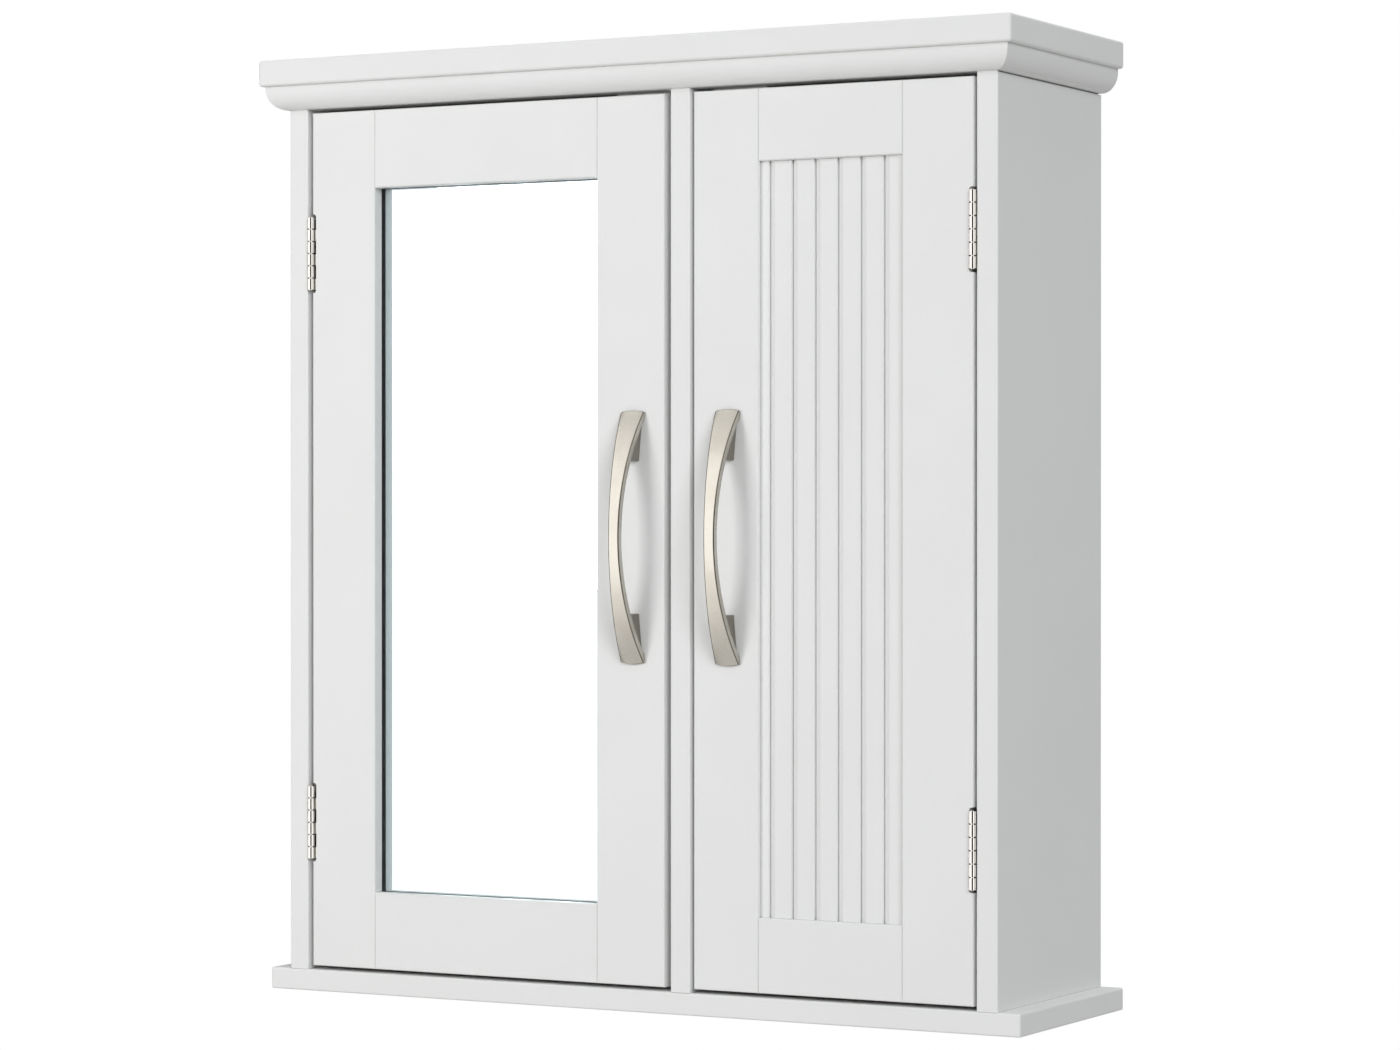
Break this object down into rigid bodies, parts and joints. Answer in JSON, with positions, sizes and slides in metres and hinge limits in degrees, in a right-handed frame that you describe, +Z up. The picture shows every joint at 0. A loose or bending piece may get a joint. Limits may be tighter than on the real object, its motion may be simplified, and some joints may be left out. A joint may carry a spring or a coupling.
{
  "type": "wall cabinet",
  "caption": "White hanging wall cabinet with a wide mirror door and a narrower bead-board door, bowed pulls, an overhanging crown and base board, and adjustable shelves.",
  "frame": {"origin": "on the wall plane (the back of the cabinet), midway between the two wall screw holes of the hanging rail", "axes": "+Z up, +Y into the wall, +X to the right for someone facing the doors; the doors face -Y"},
  "size_m": [0.54, 0.1826, 0.61],
  "materials": {
    "white_painted_board": "satin white paint on fibreboard",
    "white_shelf_board": "white board, satin",
    "white_back_board": "thin board, white outside",
    "brown_hardboard": "raw hardboard",
    "mirror": "silvered plate glass",
    "satin_nickel": "warm satin nickel",
    "nickel_plated_steel": "bright nickel plate",
    "zinc_plated_steel": "zinc plate",
    "zinc_alloy": "die-cast, dull grey",
    "white_plastic": "moulded, satin",
    "magnet": "sintered, dark",
    "beech": "fluted beech"
  },
  "bodies": {
    "carcass": {"back_panel": "white_back_board", "back_panel_pins": "zinc_plated_steel", "base_board": "white_painted_board", "base_screws": "zinc_plated_steel", "cam_bolts": "zinc_plated_steel", "cam_locks": "zinc_alloy", "catch_housings": "white_plastic", "catch_magnets": "magnet", "catch_screws": "zinc_plated_steel", "crown_slab": "white_painted_board", "divider": "white_painted_board", "dowels": "beech", "front_moulding": "white_painted_board", "hanging_rail": "white_painted_board", "hinge_frame_screws": "nickel_plated_steel", "hinge_pins": "nickel_plated_steel", "left_lower_shelf": "white_shelf_board", "left_moulding": "white_painted_board", "left_shelf_pegs": "zinc_plated_steel", "left_side_panel": "white_painted_board", "left_upper_shelf": "white_shelf_board", "mirror_door_lower_hinge_frame_leaf": "nickel_plated_steel", "mirror_door_upper_hinge_frame_leaf": "nickel_plated_steel", "panel_door_lower_hinge_frame_leaf": "nickel_plated_steel", "panel_door_upper_hinge_frame_leaf": "nickel_plated_steel", "right_lower_shelf": "white_shelf_board", "right_moulding": "white_painted_board", "right_shelf_pegs": "zinc_plated_steel", "right_side_panel": "white_painted_board", "right_upper_shelf": "white_shelf_board", "slab_screws": "zinc_plated_steel", "top_panel": "white_painted_board"},
    "mirror_door": {"mirror_backing": "brown_hardboard", "mirror_clip_screws": "zinc_plated_steel", "mirror_clips": "white_plastic", "mirror_door_bottom_rail": "white_painted_board", "mirror_door_handle": "satin_nickel", "mirror_door_handle_screws": "zinc_plated_steel", "mirror_door_hinge_screws": "nickel_plated_steel", "mirror_door_hinge_stile": "white_painted_board", "mirror_door_latch_stile": "white_painted_board", "mirror_door_lower_hinge_door_leaf": "nickel_plated_steel", "mirror_door_strike_plate": "zinc_plated_steel", "mirror_door_strike_screw": "zinc_plated_steel", "mirror_door_top_rail": "white_painted_board", "mirror_door_upper_hinge_door_leaf": "nickel_plated_steel", "mirror_glass": "mirror"},
    "panel_door": {"beaded_panel": "white_painted_board", "panel_door_bottom_rail": "white_painted_board", "panel_door_handle": "satin_nickel", "panel_door_handle_screws": "zinc_plated_steel", "panel_door_hinge_screws": "nickel_plated_steel", "panel_door_hinge_stile": "white_painted_board", "panel_door_latch_stile": "white_painted_board", "panel_door_lower_hinge_door_leaf": "nickel_plated_steel", "panel_door_strike_plate": "zinc_plated_steel", "panel_door_strike_screw": "zinc_plated_steel", "panel_door_top_rail": "white_painted_board", "panel_door_upper_hinge_door_leaf": "nickel_plated_steel"}
  },
  "joints": [
    {"name": "mirror_door_hinge", "type": "hinge", "parent": "carcass", "child": "mirror_door", "pos_m": [-0.2385, -0.157, -0.252], "axis": [0, 0, -1], "range_deg": [0, 170]},
    {"name": "panel_door_hinge", "type": "hinge", "parent": "carcass", "child": "panel_door", "pos_m": [0.2385, -0.157, -0.252], "axis": [0, 0, 1], "range_deg": [0, 170]}
  ]
}
